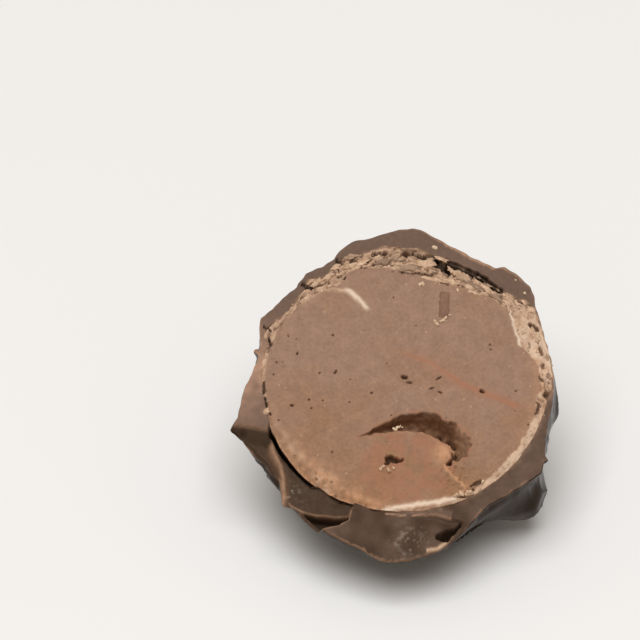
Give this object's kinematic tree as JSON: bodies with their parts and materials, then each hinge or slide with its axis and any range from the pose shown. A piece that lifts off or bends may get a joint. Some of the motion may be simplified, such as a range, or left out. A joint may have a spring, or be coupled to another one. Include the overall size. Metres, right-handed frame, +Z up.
{
  "type": "halved chocolate truffle",
  "caption": "Half of a hand-dipped chocolate truffle lying on its rounded back: pale milk chocolate ganache, cut open, in a thick, swirled dark chocolate coating.",
  "frame": {"origin": "middle of the bounding box on the table, under the coating's flat foot", "axes": "+Z up from the table; the cut face looks towards -Y and up, tipped 28 degrees forward from level; +X runs right across the cut face as seen from the front"},
  "size_m": [0.0308, 0.0324, 0.022],
  "materials": {
    "dark_chocolate": "dark chocolate, satin sheen outside with a thin grey bloom, dull grey-brown where cut or broken",
    "milk_ganache": "matt, dense milk chocolate ganache with fine pores, crumbly towards its upper edge"
  },
  "bodies": {
    "root": {"coating": "dark_chocolate", "ganache": "milk_ganache"}
  },
  "joints": []
}
